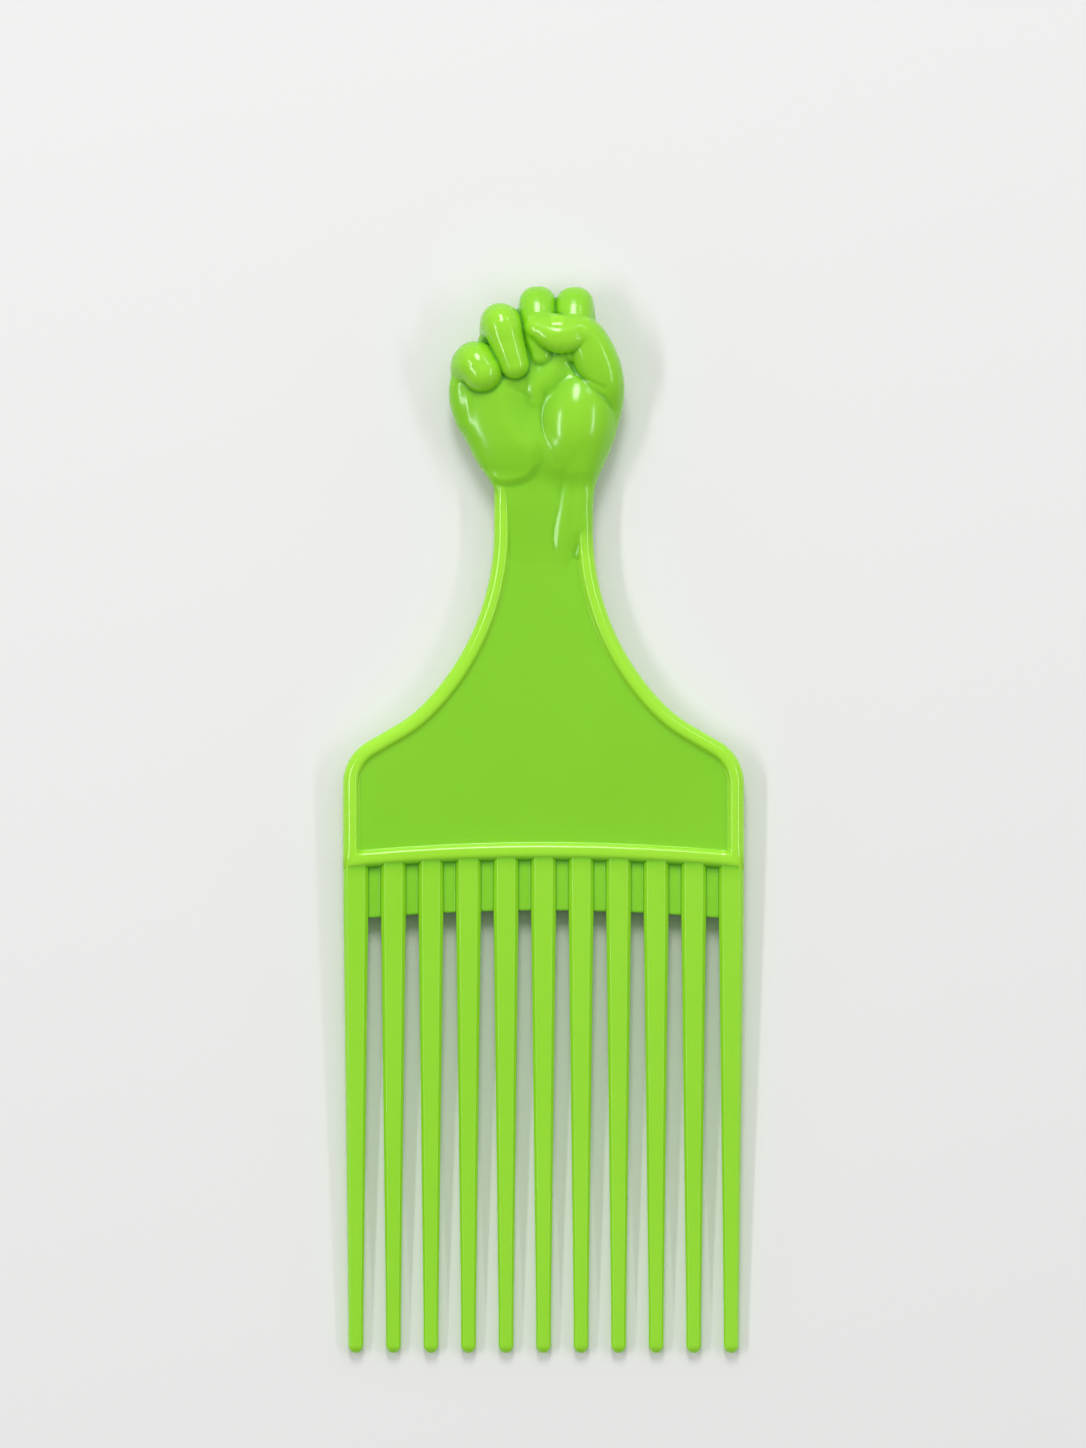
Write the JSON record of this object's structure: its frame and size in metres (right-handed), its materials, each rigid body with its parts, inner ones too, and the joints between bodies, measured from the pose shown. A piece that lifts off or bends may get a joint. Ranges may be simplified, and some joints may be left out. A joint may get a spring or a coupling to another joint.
{
  "type": "afro pick",
  "caption": "Moulded plastic afro pick with long tapered teeth, a beaded recessed panel and a grip shaped as a closed hand.",
  "frame": {"origin": "centre of the footprint, on the surface that the pick lies on, which touches the knuckles of the back of the hand", "axes": "+Y from the tooth tips to the knuckles, +Z out of the palm side, +X to the right with the teeth pointing down and the palm side seen"},
  "size_m": [0.0728, 0.1934, 0.013],
  "materials": {
    "moulded_plastic": "glossy"
  },
  "bodies": {
    "root": {"tooth_01": "moulded_plastic", "tooth_02": "moulded_plastic", "tooth_03": "moulded_plastic", "tooth_04": "moulded_plastic", "tooth_05": "moulded_plastic", "tooth_06": "moulded_plastic", "tooth_07": "moulded_plastic", "tooth_08": "moulded_plastic", "tooth_09": "moulded_plastic", "tooth_10": "moulded_plastic", "tooth_11": "moulded_plastic", "tooth_webs": "moulded_plastic", "crossbar": "moulded_plastic", "rim_left": "moulded_plastic", "rim_right": "moulded_plastic", "panel": "moulded_plastic", "wrist": "moulded_plastic", "wrist_tendon": "moulded_plastic", "palm": "moulded_plastic", "hand_back": "moulded_plastic", "thumb_base": "moulded_plastic", "thumb": "moulded_plastic", "thumb_nail": "moulded_plastic", "index_finger": "moulded_plastic", "middle_finger": "moulded_plastic", "ring_finger": "moulded_plastic", "little_finger": "moulded_plastic"}
  },
  "joints": []
}
